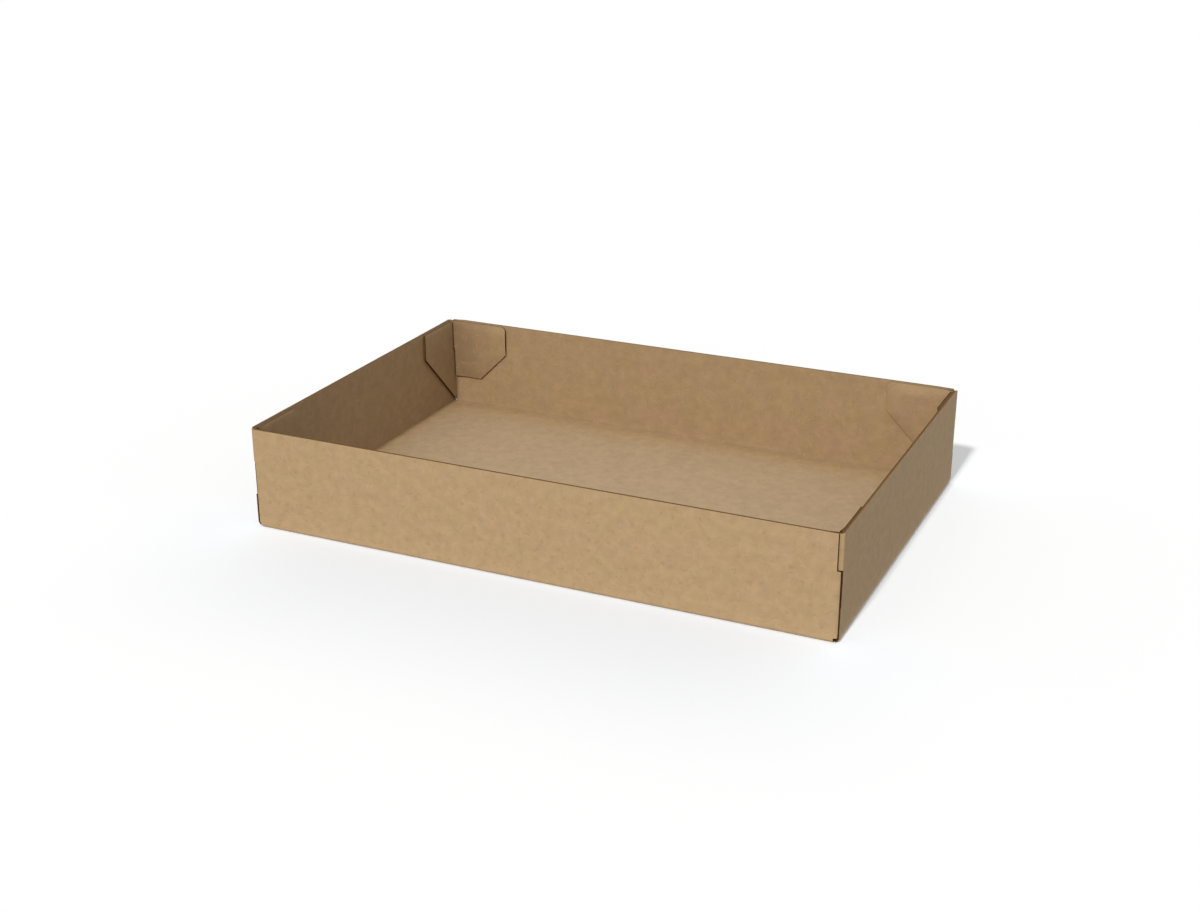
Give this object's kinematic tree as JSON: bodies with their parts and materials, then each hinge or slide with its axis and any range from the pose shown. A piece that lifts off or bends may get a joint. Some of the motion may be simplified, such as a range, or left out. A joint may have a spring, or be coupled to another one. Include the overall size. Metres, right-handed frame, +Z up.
{
  "type": "cardboard tray box",
  "caption": "Shallow open rectangular tray folded from one cut sheet of brown board, its corners held by interlocking flaps without glue.",
  "frame": {"origin": "middle of the tray's underside", "axes": "+X along the long walls, +Y along the short walls towards the wall at the back of the picture, +Z up out of the open top"},
  "size_m": [0.303, 0.203, 0.0523],
  "materials": {
    "kraft_board": "matt unprinted kraft liner with short fibres, darker cut edges"
  },
  "bodies": {
    "root": {"folded_tray": "kraft_board"}
  },
  "joints": []
}
